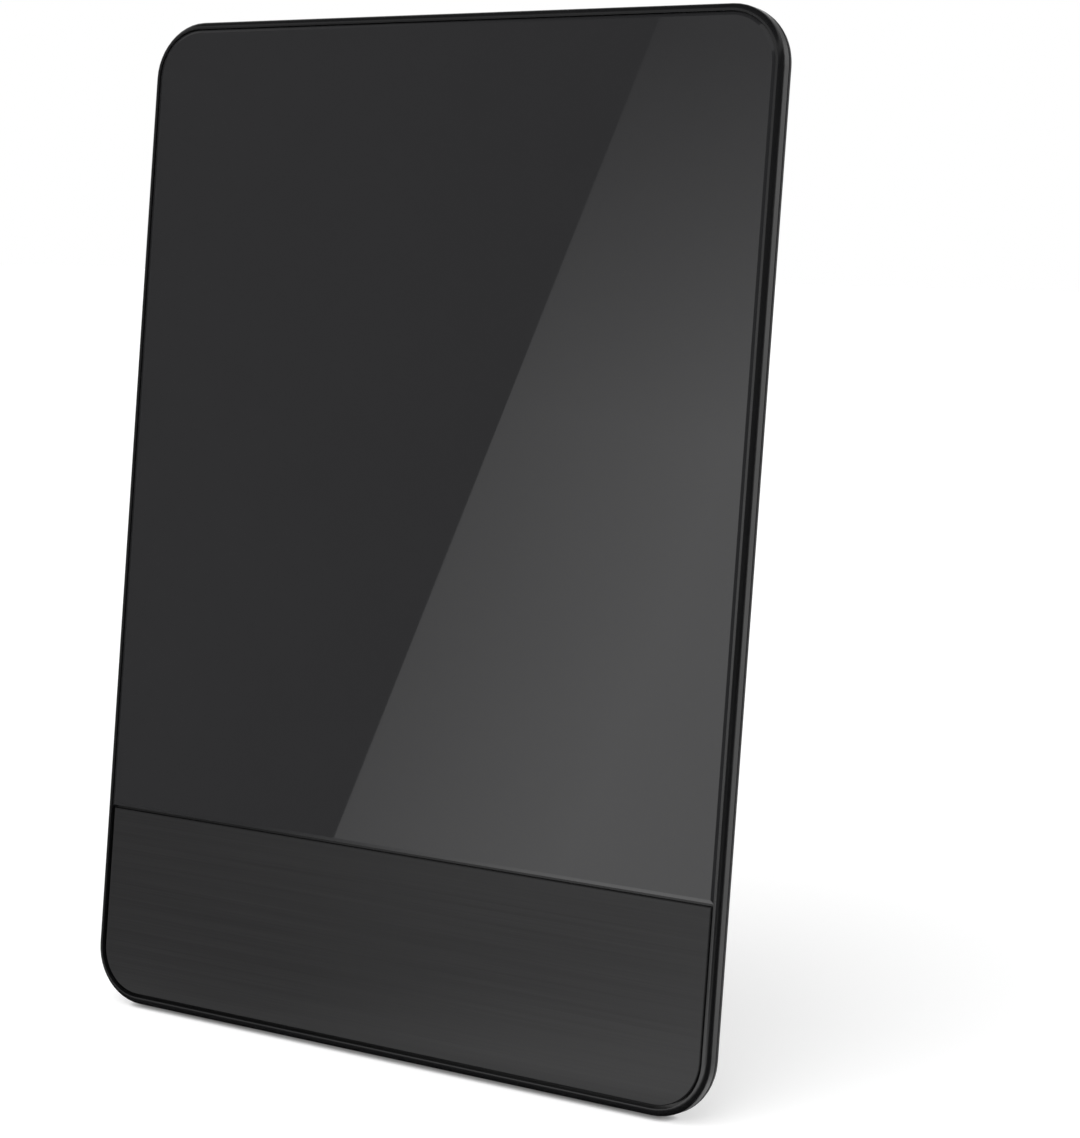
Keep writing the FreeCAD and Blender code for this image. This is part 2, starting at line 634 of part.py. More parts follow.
def stand_leg():
    """Tapered leg: a skin with a rim and ribs inside, two knuckles with heels, and a slot for its pad."""
    body = plate(leg_plate_corners(0.0, leg_end, leg_top, LEG_CORNER), leg_inner, back_depth)
    free_edges = [edge for edge in edges_at(body, back_depth) if edge.BoundBox.ZMin < leg_top - SAME_DEPTH]
    body = body.makeFillet(LEG_EDGE, free_edges)
    bay = (leg_top - leg_end - 2 * LEG_PAD_TONGUE - (LEG_RIB_COUNT + 1) * LEG_RIB) / LEG_RIB_COUNT
    for i in range(LEG_RIB_COUNT):
        low = leg_end + 2 * LEG_PAD_TONGUE + LEG_RIB + i * (bay + LEG_RIB)
        pocket = leg_plate_corners(LEG_RIM, low, low + bay, LEG_RIB)
        body = body.cut(plate(pocket, leg_inner - PAST, back_depth - LEG_SKIN))
    knuckles = []
    for low in (knuckle_inner, -knuckle_outer):
        high = low + knuckle_width
        heel = plate(rectangle(low, high, leg_top, HINGE_HEIGHT + HEEL_LENGTH), leg_inner, back_depth)
        start = Vector(low, hinge_y, HINGE_HEIGHT)
        knuckles.append(heel)
        knuckles.append(Part.makeCylinder(KNUCKLE_RADIUS, knuckle_width, start, X_AXIS))
    body = fuse(body, *knuckles)
    bore_start = Vector(-leg_top_half, hinge_y, HINGE_HEIGHT)
    body = body.cut(Part.makeCylinder(PIN_RADIUS, LEG_TOP_WIDTH, bore_start, X_AXIS))
    return opened(body.cut(pad_tongue()))


def pad_tongue():
    """Tongue of the rubber pad, which is also its slot in the leg's end."""
    half = leg_foot_half - LEG_PAD_INSET - LEG_CORNER
    middle = (leg_inner + back_depth) / 2
    corners = rectangle(-half, half, leg_end - PAST, leg_end + LEG_PAD_TONGUE)
    return plate(corners, middle - LEG_PAD_TONGUE_THICKNESS / 2, middle + LEG_PAD_TONGUE_THICKNESS / 2)


def leg_pad():
    """Rubber end of the leg, flat where it meets the floor."""
    half = leg_foot_half - LEG_PAD_INSET
    inner_end = HINGE_HEIGHT - leg_reach(leg_inner)
    outer_end = HINGE_HEIGHT - leg_reach(back_depth)
    sole = [(leg_inner, leg_end), (back_depth, leg_end), (back_depth, outer_end), (leg_inner, inner_end)]
    return opened(fuse(section(sole, -half, half), pad_tongue()))


def hinge_pin():
    """Steel pin through the knuckles and the ears."""
    half = ear_outer - PIN_END_GAP
    return opened(Part.makeCylinder(PIN_RADIUS, 2 * half, Vector(-half, hinge_y, HINGE_HEIGHT), X_AXIS))


def base_pads():
    """Two rubber pads under the cover's bottom edge, flat on the floor."""
    outside = cover_outside()
    front = frame_depth + PARTING_CHAMFER
    back = front + BASE_PAD_DEPTH
    sole = [(front, floor_z(front)), (back, floor_z(back)), (back, COVER_ROUND), (front, COVER_ROUND)]
    pads = []
    for side in (-1, 1):
        middle = side * BASE_PAD_SPREAD / 2
        block = section(sole, middle - BASE_PAD_LENGTH / 2, middle + BASE_PAD_LENGTH / 2)
        pads.append(block.cut(outside))
    return Part.makeCompound(pads)


PIECES = {
    "front_frame": front_frame(),
    "front_panel": front_panel(),
    "trim_strip": trim_strip(),
    "panel_tape": panel_tape(),
    "trim_tape": trim_tape(),
    "rear_cover": rear_cover(),
    "case_screws": case_screws(),
    "antenna_board": antenna_board(),
    "left_radiator": radiator(-1),
    "right_radiator": radiator(1),
    "amplifier_board": amplifier_board(),
    "amplifier_shield": amplifier_shield(),
    "feed_cable": feed_cable(),
    "output_socket": output_socket(),
    "socket_insulator": socket_insulator(),
    "socket_contact": socket_contact(),
    "socket_washer": socket_washer(),
    "socket_nut": socket_nut(),
    "stand_leg": stand_leg(),
    "hinge_pin": hinge_pin(),
    "leg_pad": leg_pad(),
    "base_pads": base_pads(),
}


def stand_up(pieces):
    """Lean the whole back onto its leg, over the origin and on the floor."""
    for shape in pieces.values():
        shape.rotate(Vector(0, 0, 0), X_AXIS, -LEAN_ANGLE)
    box = Part.makeCompound(list(pieces.values())).optimalBoundingBox(False, False)
    shift = Vector(0, -(box.YMin + box.YMax) / 2, floor_drop)
    for shape in pieces.values():
        shape.translate(shift)
    return shift


def standing(x, y, z, shift):
    """Where a point of the upright panel comes to stand."""
    turn = FreeCAD.Rotation(X_AXIS, -LEAN_ANGLE)
    return turn.multVec(Vector(x, y, z)) + shift


os.makedirs("parts", exist_ok=True)
placed = stand_up(PIECES)
for name, shape in PIECES.items():
    shape.exportStep("parts/" + name + ".step")
    print(name, "valid" if shape.isValid() else "NOT VALID", len(shape.Solids), round(shape.Volume, 1))

print("hinge axis at", standing(0, hinge_y, HINGE_HEIGHT, placed))
print("socket thread middle at", standing(socket_x, thread_start + SOCKET_FREE / 2, socket_z, placed))
print("socket points along", standing(0, 1, 0, placed) - placed)
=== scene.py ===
"""Looks of a leaning panel antenna: finishes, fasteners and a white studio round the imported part."""

import json
import math

import bmesh
import bpy
from bpy.props import FloatProperty, FloatVectorProperty, IntProperty, PointerProperty
from mathutils import Matrix, Vector


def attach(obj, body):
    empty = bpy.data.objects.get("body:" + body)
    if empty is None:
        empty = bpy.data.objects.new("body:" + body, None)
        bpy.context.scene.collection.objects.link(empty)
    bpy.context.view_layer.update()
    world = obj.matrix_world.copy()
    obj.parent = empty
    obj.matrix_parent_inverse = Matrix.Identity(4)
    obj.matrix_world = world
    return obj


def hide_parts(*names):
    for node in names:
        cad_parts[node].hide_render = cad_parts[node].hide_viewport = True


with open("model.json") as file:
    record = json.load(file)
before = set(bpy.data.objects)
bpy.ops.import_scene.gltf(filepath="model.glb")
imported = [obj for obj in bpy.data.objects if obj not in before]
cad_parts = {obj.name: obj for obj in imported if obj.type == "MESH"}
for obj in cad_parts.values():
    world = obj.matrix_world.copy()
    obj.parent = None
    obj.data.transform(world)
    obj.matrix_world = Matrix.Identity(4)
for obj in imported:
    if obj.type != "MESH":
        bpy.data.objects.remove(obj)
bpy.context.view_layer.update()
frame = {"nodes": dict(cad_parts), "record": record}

bl_info = {
    "name": "Indoor TV antenna",
    "version": (1, 0, 0),
    "blender": (4, 5, 0),
    "location": "3D View > Sidebar > Antenna",
    "description": "Finishes, fasteners and stage of a leaning panel antenna",
    "category": "Object",
}

MM = 0.001

# Points of a copied mesh that are nearer than this are merged
JOIN_REACH = 0.001 * MM

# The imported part: its nodes, its colours by material slot and its mounts
NODES = frame["nodes"]
COLOURS = {m["slot"]: m["base_color"] for m in frame["record"]["materials"]}
MOUNTS = {m["name"]: m for m in frame["record"]["mounts"]}

# The panel's own directions in the frame: right, up its face and out of its back
RIGHT = Vector((1.0, 0.0, 0.0))
BACKWARD = Vector(MOUNTS["coax_socket"]["axis"]).normalized()
UPWARD = RIGHT.cross(BACKWARD)
LEAN = math.atan2(UPWARD.y, UPWARD.z)
SOCKET_MIDDLE = Vector(MOUNTS["coax_socket"]["pos_m"])
SOCKET_RADIUS = MOUNTS["coax_socket"]["dims"]["r_mm"] * MM

# Sides, rings and rows of the built pieces
HEAD_SIDES = 64
DOME_RINGS = 48
SHANK_SIDES = 32
SOCKET_SIDES = 96
THREAD_ROWS = 120

# A shank is lowered by just under half its length, so that it runs into its head
SHANK_DROP = 0.49

# Wings of a cross recess: the share of its depth that they stand out of the head, and of their
# width that is left at their lower ends
WING_RISE = 0.2
WING_TIP = 0.35

# Where a thread's flank starts and ends between its crest and its root
THREAD_FLANK = (0.14, 0.86)

# Edges over these angles stay sharp
SHARP_SCREW = math.radians(28.0)
SHARP_THREAD = math.radians(40.0)

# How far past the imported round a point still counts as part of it
ROUND_MARGIN = 1.01

# Middle part of a noise, where nearly all its values are
NOISE_MIDDLE = (0.3, 0.7)

# Where the mirrored floor gets lighter or darker: ranges of its X or Y in metres
SHEET_LEFT = (-0.12, 0.04)
SHEET_RIGHT = (0.15, 0.3)
SHEET_BACK = (-0.07, -0.04)
NEAR_FRONT = (-0.1, -0.06)
NEAR_BACK = (-0.045, -0.032)
FAR_FRONT = (-0.024, -0.008)
# Samples of the occlusion node that paints a contact shadow on the floor
PAINTED_SHADE_SAMPLES = 16

# Where the panel's right side meets the floor
FLOOR_CORNER = (0.09, -0.02, 0.0)

# The way behind the object and to its left, and how far a direction goes along it to turn white
BEHIND_LEFT = (-0.6, 1.0, 0.0)
BEHIND_START = (0.38, 0.6)

# Where the mirrored room gets lighter or darker: ranges of a direction's X or Z
ROOM_LEFT = (-0.3, 0.2)
WALL_TOP = (0.2, 0.5)
BAND_START = (0.34, 0.5)
BAND_END = (0.58, 0.7)

# Share of the front's brightness that is left above the band
CEILING_SHARE = 0.02

# The mirrored card: its middle, its directions, and its edges as places across and up from there
CARD_MIDDLE = Vector((-0.4794, -0.7503, 0.2215))
CARD_ACROSS = Vector((0.8270, -0.5622, 0.0))
CARD_RISE = Vector((0.0536, 0.0789, 0.9954))
CARD_EDGE_LOW = (-0.0647, -0.1987)
CARD_EDGE_HIGH = (0.0481, 0.2712)
CARD_LOW = -0.75
CARD_HIGH = 0.85
CARD_FAR = 0.75

# Share of the card's brightness at its slanted edge and at its top, and where it fades to them
CARD_EDGE_SHARE = 0.6
CARD_EDGE_FADE = (0.0, 0.13)
CARD_TOP_SHARE = 0.36
CARD_TOP_FADE = (0.05, 0.27)

# The camera's sensor in millimetres, and the nearest that it sees in metres
SENSOR_WIDTH = 36.0
CAMERA_NEAR = 0.01


def colour_of(slot, label):
    """Colour property that starts from the record's colour of a material slot."""
    return FloatVectorProperty(
        name=label, description=f"Base colour of the {label.lower()}",
        default=COLOURS[slot], subtype="COLOR", size=3, min=0.0, max=1.0,
    )


def length_of(label, about, millimetres):
    """Length property, shown in the scene's own unit."""
    return FloatProperty(
        name=label, description=about, default=millimetres * MM, min=0.0, unit="LENGTH", precision=5,
    )


def share_of(label, about, value):
    """Property between 0 and 1."""
    return FloatProperty(name=label, description=about, default=value, min=0.0, max=1.0, subtype="FACTOR")


def level_of(label, about, value):
    """Brightness property, which may be over 1."""
    return FloatProperty(name=label, description=about, default=value, min=0.0)


def angle_of(label, about, degrees):
    """Angle property."""
    return FloatProperty(name=label, description=about, default=math.radians(degrees), subtype="ANGLE")


class AntennaFinishes(bpy.types.PropertyGroup):
    """Colours and gloss of the pieces"""

    panel_colour: colour_of("panel_gloss", "Polished panel")
    panel_roughness: share_of("Panel roughness", "Roughness of the polished panel", 0.012)
    trim_colour: colour_of("trim_brushed", "Brushed strip")
    trim_roughness: share_of("Strip roughness", "Middle roughness of the brushed strip", 0.24)
    frame_colour: colour_of("frame_black", "Front frame")
    frame_roughness: share_of("Frame roughness", "Roughness of the front frame", 0.22)
    cover_colour: colour_of("cover_black", "Rear cover")
    cover_roughness: share_of("Cover roughness", "Roughness of the eroded texture", 0.5)
    leg_colour: colour_of("leg_black", "Easel leg")
    rubber_colour: colour_of("rubber", "Rubber pads")
    plating_colour: colour_of("nickel", "Nickel plating")
    screw_colour: colour_of("screw_steel", "Screws")
    pin_colour: colour_of("pin_steel", "Hinge pin")
    insulator_colour: colour_of("insulator", "Socket core")
    contact_colour: colour_of("contact", "Socket contact")
    board_colour: colour_of("board", "Printed boards")
    foil_colour: colour_of("copper_foil", "Copper foil")
    shield_colour: colour_of("tinned_steel", "Amplifier shield")
    jacket_colour: colour_of("cable_jacket", "Feed cable")
    tape_colour: colour_of("tape", "Adhesive tape")


class AntennaRim(bpy.types.PropertyGroup):
    """Sizes of the front frame's outer round"""

    packed_round: length_of("Packed round", "Radius of the round on the packed frame", 0.95)
    corner_radius: length_of("Corner radius", "Radius of the frame's corners", 14.0)
    round_depth: length_of("Round depth", "How far the round reaches back along the side walls", 1.9)
    round_end: length_of("Round end", "How far the round reaches in at the top and bottom", 1.65)


class AntennaFasteners(bpy.types.PropertyGroup):
    """Sizes of the screws and of the threaded socket"""

    head_radius: length_of("Head radius", "Radius of a screw's head", 2.3)
    head_height: length_of("Head height", "Height of a screw's head", 1.7)
    head_dome: length_of("Head dome", "Radius of the dome on a screw's head", 3.1)
    shank_radius: length_of("Shank radius", "Radius of a screw's shank", 1.3)
    recess_reach: length_of("Recess reach", "Length of one wing of the cross recess", 1.35)
    recess_width: length_of("Recess width", "Width of a wing of the cross recess", 0.6)
    recess_depth: length_of("Recess depth", "Depth of the cross recess", 1.15)
    turn_seed: IntProperty(name="Turn seed", description="Seed of the screws' turns", default=4, min=0)
    thread_pitch: length_of("Thread pitch", "Distance between two turns of the socket's thread", 0.794)
    thread_depth: length_of("Thread depth", "Depth of the socket's thread", 0.43)
    thread_free: length_of("Thread length", "Length of the socket's free thread", 7.0)
    relief_width: length_of("Relief width", "Width of the groove below the thread", 0.6)
    relief_depth: length_of("Relief depth", "Depth of the groove below the thread", 0.4)
    socket_edge: length_of("Socket edge", "Chamfer at the socket's mouth", 0.4)
    socket_bore: length_of("Socket bore", "Radius of the bore for the core", 3.3)
    socket_shank: length_of("Socket shank", "Radius of the shank inside the cover", 4.4)
    flange_across: length_of("Flange across flats", "Width of the hexagon inside the cover", 11.0)
    flange_height: length_of("Flange height", "Height of the hexagon inside the cover", 2.0)
    flange_drop: length_of("Flange drop", "Distance from the thread's relief down to the hexagon", 4.7)


class AntennaStage(bpy.types.PropertyGroup):
    """Camera, floor and light"""

    camera_place: FloatVectorProperty(
        name="Camera place", description="Where the camera stands", size=3,
        default=(0.387092, -0.541138, 0.212214), subtype="TRANSLATION", unit="LENGTH", precision=5,
    )
    camera_turn: angle_of("Camera turn", "Turn of the camera about the vertical", 33.4721)
    camera_dip: angle_of("Camera dip", "How far the camera looks down", 8.2099)
    camera_lens: FloatProperty(
        name="Lens", description="Focal length in millimetres",
        default=87.69, min=1.0, subtype="DISTANCE_CAMERA",
    )
    floor_half: FloatProperty(
        name="Floor half", description="Half of the floor's side", default=4.0, min=0.5, unit="LENGTH",
    )
    floor_colour: FloatVectorProperty(
        name="Floor", description="Colour of the floor",
        default=(0.9, 0.9, 0.9), subtype="COLOR", size=3, min=0.0, max=1.0,
    )
    # The floor's white glow and its image in gloss are darkened near the object by a painted contact
    # shadow, which spreads over the contact reach
    floor_glow: share_of("Floor glow", "White of the floor that only contact takes away", 0.57)
    floor_shade: share_of("Floor shade", "Share of the light on the floor that the camera sees", 0.6)
    painted_contact_reach: length_of("Contact reach", "How far the dark line of contact spreads on the floor", 1.4)
    key_strength: level_of("Key light", "Strength of the soft key light", 2.0)
    key_softness: angle_of("Key softness", "Angle over which the key light spreads", 62.0)
    key_rise: angle_of("Key rise", "Height of the key light over the floor", 50.0)
    key_turn: angle_of("Key turn", "Turn of the key light to the left of the front", 4.0)
    room_light: level_of("Room light", "Light from all round", 0.55)
    room_front: share_of("Room front", "Brightness of the room in front, as mirrored by gloss", 0.18)
    room_right: share_of("Room right", "Brightness of the room to the right, as mirrored by gloss", 0.04)
    room_band: share_of("Room band", "Brightness of the room above the card, as mirrored by gloss", 0.45)
    sheet_light: level_of("Sheet light", "Brightness of the floor in front, as mirrored by gloss", 2.1)
    floor_near: share_of("Floor near", "Brightness of the mirrored floor at the front edge", 0.8)
    card_light: level_of("Card light", "Brightness of the mirrored card", 1.45)


def node(tree, kind, inputs=None, **settings):
    """New node with its settings, its inputs set to values or linked to other sockets."""
    made = tree.nodes.new(kind)
    for name, value in settings.items():
        setattr(made, name, value)
    for name, value in (inputs or {}).items():
        if isinstance(value, bpy.types.NodeSocket):
            tree.links.new(value, made.inputs[name])
        else:
            made.inputs[name].default_value = value
    return made


def math_node(tree, operation, first, second=0.0, third=0.0, clamp=False):
    """Result of one sum on up to three numbers."""
    inputs = {0: first, 1: second, 2: third}
    return node(tree, "ShaderNodeMath", inputs, operation=operation, use_clamp=clamp).outputs[0]


def vector_math(tree, operation, first, second=(0.0, 0.0, 0.0), scale=1.0):
    """Outputs of one sum on vectors."""
    inputs = {0: first, 1: second, 3: scale}
    return node(tree, "ShaderNodeVectorMath", inputs, operation=operation).outputs


def over(tree, value, limit):
    """True where a number is over a limit."""
    settings = {"data_type": "FLOAT", "operation": "GREATER_THAN"}
    return node(tree, "FunctionNodeCompare", {0: value, 1: limit}, **settings).outputs[0]


def spread(tree, value, low, high, from_low=0.0, from_high=1.0, smooth=False):
    """A number mapped from one range to another and kept inside it."""
    kind = "SMOOTHSTEP" if smooth else "LINEAR"
    inputs = {"Value": value, "From Min": from_low, "From Max": from_high, "To Min": low, "To Max": high}
    return node(tree, "ShaderNodeMapRange", inputs, interpolation_type=kind).outputs["Result"]


def new_finish(name, colour, **sockets):
    """Material with one Principled shader, and its tree and shader."""
    material = bpy.data.materials.new(name)
    material.use_nodes = True
    material.diffuse_color = (*colour, 1.0)
    tree = material.node_tree
    tree.nodes.clear()
    shader = node(tree, "ShaderNodeBsdfPrincipled", {"Base Color": (*colour, 1.0), **sockets})
    out = node(tree, "ShaderNodeOutputMaterial")
    tree.links.new(shader.outputs["BSDF"], out.inputs["Surface"])
    return material, tree, shader


def place_in(tree, stretch, turn=0.0):
    """Object coordinates, turned about the panel's width and stretched to cycles for each metre."""
    coordinates = node(tree, "ShaderNodeTexCoord").outputs["Object"]
    upright = node(tree, "ShaderNodeMapping", {"Vector": coordinates, "Rotation": (turn, 0.0, 0.0)})
    return node(tree, "ShaderNodeMapping", {"Vector": upright.outputs[0], "Scale": stretch}).outputs[0]


def noise(tree, vector, detail=2.0, roughness=0.5):
    """Noise of scale 1 on a vector that is already stretched."""
    inputs = {"Vector": vector, "Scale": 1.0, "Detail": detail, "Roughness": roughness}
    return node(tree, "ShaderNodeTexNoise", inputs).outputs["Fac"]


def clouds(tree, cycles, detail=4.0, roughness=0.6):
    """Noise with as many cycles for each metre in every direction."""
    return noise(tree, place_in(tree, (cycles, cycles, cycles)), detail, roughness)


def tint(tree, shader, colour, amount, pattern):
    """Base colour that a pattern makes darker and lighter by an amount."""
    dark = tuple(c * (1.0 - amount) for c in colour) + (1.0,)
    light = tuple(min(1.0, c * (1.0 + amount)) for c in colour) + (1.0,)
    mix = node(tree, "ShaderNodeMix", {"Factor": pattern, 6: dark, 7: light}, data_type="RGBA")
    tree.links.new(mix.outputs[2], shader.inputs["Base Color"])


def relief(tree, shader, height, depth):
    """Bump of a given depth in metres."""
    bump = node(tree, "ShaderNodeBump", {"Height": height, "Distance": depth, "Strength": 1.0})
    tree.links.new(bump.outputs["Normal"], shader.inputs["Normal"])


def roughen(tree, shader, pattern, low, high):
    """Roughness that follows a pattern between two values."""
    tree.links.new(spread(tree, pattern, low, high, *NOISE_MIDDLE), shader.inputs["Roughness"])


def polished_black(name, colour, roughness):
    """Polished plate: deep black with a faint haze."""
    material, tree, shader = new_finish(name, colour, IOR=1.5)
    haze = clouds(tree, cycles=28.0, detail=5.0)
    roughen(tree, shader, haze, low=roughness * 0.8, high=roughness * 1.5)
    tint(tree, shader, colour, amount=0.06, pattern=haze)
    return material


def brushed_black(name, colour, roughness):
    """Satin strip with hairlines that run across it."""
    material, tree, shader = new_finish(name, colour, **{"IOR": 1.45, "Specular IOR Level": 0.27})
    hair = noise(tree, place_in(tree, (9.0, 300.0, 2600.0), LEAN), detail=3.0, roughness=0.65)
    band = noise(tree, place_in(tree, (14.0, 120.0, 700.0), LEAN), detail=2.0, roughness=0.5)
    hair_share = math_node(tree, "MULTIPLY", hair, 0.65)
    band_share = math_node(tree, "MULTIPLY", band, 0.35)
    grain = math_node(tree, "ADD", hair_share, band_share)
    tint(tree, shader, colour, amount=0.16, pattern=spread(tree, grain, 0.0, 1.0, *NOISE_MIDDLE))
    roughen(tree, shader, grain, low=roughness - 0.02, high=roughness + 0.03)
    relief(tree, shader, grain, depth=0.004 * MM)
    return material


def satin_black(name, colour, roughness):
    """Moulded black with a satin gloss."""
    material, tree, shader = new_finish(name, colour, IOR=1.5)
    cloud = clouds(tree, cycles=60.0)
    fine = clouds(tree, cycles=2400.0, detail=2.0, roughness=0.5)
    roughen(tree, shader, cloud, low=roughness * 0.85, high=roughness * 1.2)
    tint(tree, shader, colour, amount=0.08, pattern=cloud)
    relief(tree, shader, fine, depth=0.002 * MM)
    return material


def eroded_black(name, colour, roughness, grain_size):
    """Moulded black with the fine pebbled texture of a spark-eroded tool."""
    material, tree, shader = new_finish(name, colour, IOR=1.46)
    pebble = clouds(tree, 1.0 / grain_size, detail=3.0, roughness=0.55)
    cloud = clouds(tree, cycles=45.0)
    roughen(tree, shader, pebble, low=roughness - 0.05, high=roughness + 0.1)
    patches = math_node(tree, "MULTIPLY", cloud, 2.0)
    patchy = math_node(tree, "MULTIPLY", pebble, patches, clamp=True)
    tint(tree, shader, colour, amount=0.14, pattern=patchy)
    relief(tree, shader, pebble, depth=grain_size * 0.12)
    return material


def moulded_rubber(name, colour):
    """Dull rubber with a dusty bloom."""
    material, tree, shader = new_finish(name, colour, IOR=1.5)
    bloom = clouds(tree, cycles=350.0, detail=5.0, roughness=0.65)
    grain = clouds(tree, cycles=4200.0, detail=2.0, roughness=0.5)
    tint(tree, shader, colour, amount=0.3, pattern=bloom)
    roughen(tree, shader, bloom, low=0.7, high=0.88)
    relief(tree, shader, grain, depth=0.012 * MM)
    return material


def turned_metal(name, colour, roughness, lines):
    """Plated metal with fine turning lines square to the socket's axis."""
    material, tree, shader = new_finish(name, colour, Metallic=1.0)
    turning = noise(tree, place_in(tree, (40.0, lines, 40.0), LEAN), detail=3.0, roughness=0.6)
    stain = clouds(tree, cycles=420.0)
    tint(tree, shader, colour, amount=0.1, pattern=stain)
    roughen(tree, shader, turning, low=roughness * 0.75, high=roughness * 1.35)
    relief(tree, shader, turning, depth=0.003 * MM)
    return material


def plain_metal(name, colour, roughness, cloud_size):
    """Rolled or plated metal, clouded at one scale."""
    material, tree, shader = new_finish(name, colour, Metallic=1.0)
    cloud = clouds(tree, 1.0 / cloud_size, detail=5.0, roughness=0.65)
    tint(tree, shader, colour, amount=0.12, pattern=cloud)
    roughen(tree, shader, cloud, low=roughness * 0.8, high=roughness * 1.3)
    relief(tree, shader, cloud, depth=0.002 * MM)
    return material


def woven_board(name, colour):
    """Solder resist over the weave of a glass cloth."""
    material, tree, shader = new_finish(name, colour, IOR=1.52)
    threads = {"Vector": place_in(tree, (1.0, 1.0, 1.0), LEAN), "Scale": 260.0}
    across = node(tree, "ShaderNodeTexWave", threads, bands_direction="X").outputs["Fac"]
    along = node(tree, "ShaderNodeTexWave", threads, bands_direction="Z").outputs["Fac"]
    weave = math_node(tree, "MULTIPLY", across, along)
    cloud = clouds(tree, cycles=60.0)
    tint(tree, shader, colour, amount=0.18, pattern=math_node(tree, "MULTIPLY", weave, cloud))
    roughen(tree, shader, cloud, low=0.3, high=0.42)
    relief(tree, shader, weave, depth=0.006 * MM)
    return material


def dull_plastic(name, colour, roughness, grain_size):
    """Plain plastic with a fine grain and a little clouding."""
    material, tree, shader = new_finish(name, colour, IOR=1.48)
    grain = clouds(tree, 1.0 / grain_size, detail=3.0)
    tint(tree, shader, colour, amount=0.12, pattern=grain)
    roughen(tree, shader, grain, low=roughness * 0.85, high=roughness * 1.12)
    relief(tree, shader, grain, depth=grain_size * 0.02)
    return material


def dress(material, *names):
    """Give CAD nodes a finish."""
    for name in names:
        slots = NODES[name].data.materials
        slots.clear()
        slots.append(material)


def piece_of(name, mesh, body, slot, material, *stands_for):
    """New piece that rides on a body and stands for CAD nodes."""
    mesh.materials.clear()
    mesh.materials.append(material)
    piece = bpy.data.objects.new(name, mesh)
    bpy.context.scene.collection.objects.link(piece)
    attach(piece, body)
    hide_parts(*stands_for)
    return piece


def fresh_tree(name, sizes):
    """Geometry node tree with inputs for a mesh, each size and a material, and its two end nodes."""
    tree = bpy.data.node_groups.new(name, "GeometryNodeTree")
    tree.interface.new_socket("Geometry", in_out="INPUT", socket_type="NodeSocketGeometry")
    tree.interface.new_socket("Geometry", in_out="OUTPUT", socket_type="NodeSocketGeometry")
    for label, value in sizes.items():
        kind = "NodeSocketInt" if isinstance(value, int) else "NodeSocketFloat"
        tree.interface.new_socket(label, in_out="INPUT", socket_type=kind)
    tree.interface.new_socket("Finish", in_out="INPUT", socket_type="NodeSocketMaterial")
    return tree, node(tree, "NodeGroupInput"), node(tree, "NodeGroupOutput")


def soft_shading(tree, geometry, sharpest):
    """Smooth shading that keeps edges sharper than an angle."""
    smooth = node(tree, "GeometryNodeSetShadeSmooth", {"Geometry": geometry, "Shade Smooth": True})
    angle = node(tree, "GeometryNodeInputMeshEdgeAngle").outputs["Unsigned Angle"]
    sharp = over(tree, angle, sharpest)
    inputs = {"Geometry": smooth.outputs[0], "Selection": sharp, "Shade Smooth": False}
    return node(tree, "GeometryNodeSetShadeSmooth", inputs, domain="EDGE").outputs[0]


def end_tree(tree, start, end, geometry):
    """Last nodes of a tree: real geometry with its finish."""
    real = node(tree, "GeometryNodeRealizeInstances", {"Geometry": geometry})
    inputs = {"Geometry": real.outputs[0], "Material": start.outputs["Finish"]}
    finished = node(tree, "GeometryNodeSetMaterial", inputs)
    tree.links.new(finished.outputs[0], end.inputs["Geometry"])


def grow(base, tree, sizes, material):
    """Plain mesh that a tree makes from a base mesh."""
    holder = bpy.data.objects.new("workpiece", base)
    bpy.context.scene.collection.objects.link(holder)
    modifier = holder.modifiers.new("build", "NODES")
    modifier.node_group = tree
    values = {**sizes, "Finish": material}
    for item in tree.interface.items_tree:
        if item.in_out == "INPUT" and item.name in values:
            modifier[item.identifier] = values[item.name]
    graph = bpy.context.evaluated_depsgraph_get()
    mesh = bpy.data.meshes.new_from_object(holder.evaluated_get(graph), depsgraph=graph)
    holder.modifiers.clear()
    bpy.data.objects.remove(holder)
    return mesh


def outward(place):
    """Matrix that stands a shape, made along +Z, on a place of the back and points it backward."""
    turn = Matrix((RIGHT, -UPWARD, BACKWARD)).transposed().to_4x4()
    return Matrix.Translation(place) @ turn


def box_shape(tree, size):
    """Box whose size is a vector socket."""
    return node(tree, "GeometryNodeMeshCube", {"Size": size}).outputs["Mesh"]


def vector_of(tree, x, y, z):
    """Vector of three numbers or sockets."""
    return node(tree, "ShaderNodeCombineXYZ", {"X": x, "Y": y, "Z": z}).outputs[0]


def shifted(tree, geometry, z, turn=0.0):
    """Geometry moved up by a number or socket, and turned about its axis."""
    upward = vector_of(tree, 0.0, 0.0, z)
    inputs = {"Geometry": geometry, "Translation": upward, "Rotation": (0.0, 0.0, turn)}
    return node(tree, "GeometryNodeTransform", inputs).outputs[0]


def joined(tree, operation, first, others):
    """Boolean of meshes: the first less, with or within the others."""
    made = node(tree, "GeometryNodeMeshBoolean", operation=operation, solver="EXACT")
    if operation == "DIFFERENCE":
        tree.links.new(first, made.inputs["Mesh 1"])
    else:
        others = [first, *others]
    for other in others:
        tree.links.new(other, made.inputs["Mesh 2"])
    return made.outputs["Mesh"]


def tapered(tree, geometry, depth):
    """Narrow a shape towards its lower end, as the wings of a cross recess are."""
    place = node(tree, "GeometryNodeInputPosition").outputs[0]
    z = node(tree, "ShaderNodeSeparateXYZ", {0: place}).outputs["Z"]
    half = math_node(tree, "MULTIPLY", depth, 0.5)
    share = spread(tree, z, WING_TIP, 1.0, math_node(tree, "MULTIPLY", half, -1.0), half)
    narrowed = vector_math(tree, "MULTIPLY", place, vector_of(tree, share, share, 1.0))["Vector"]
    inputs = {"Geometry": geometry, "Position": narrowed}
    return node(tree, "GeometryNodeSetPosition", inputs).outputs[0]


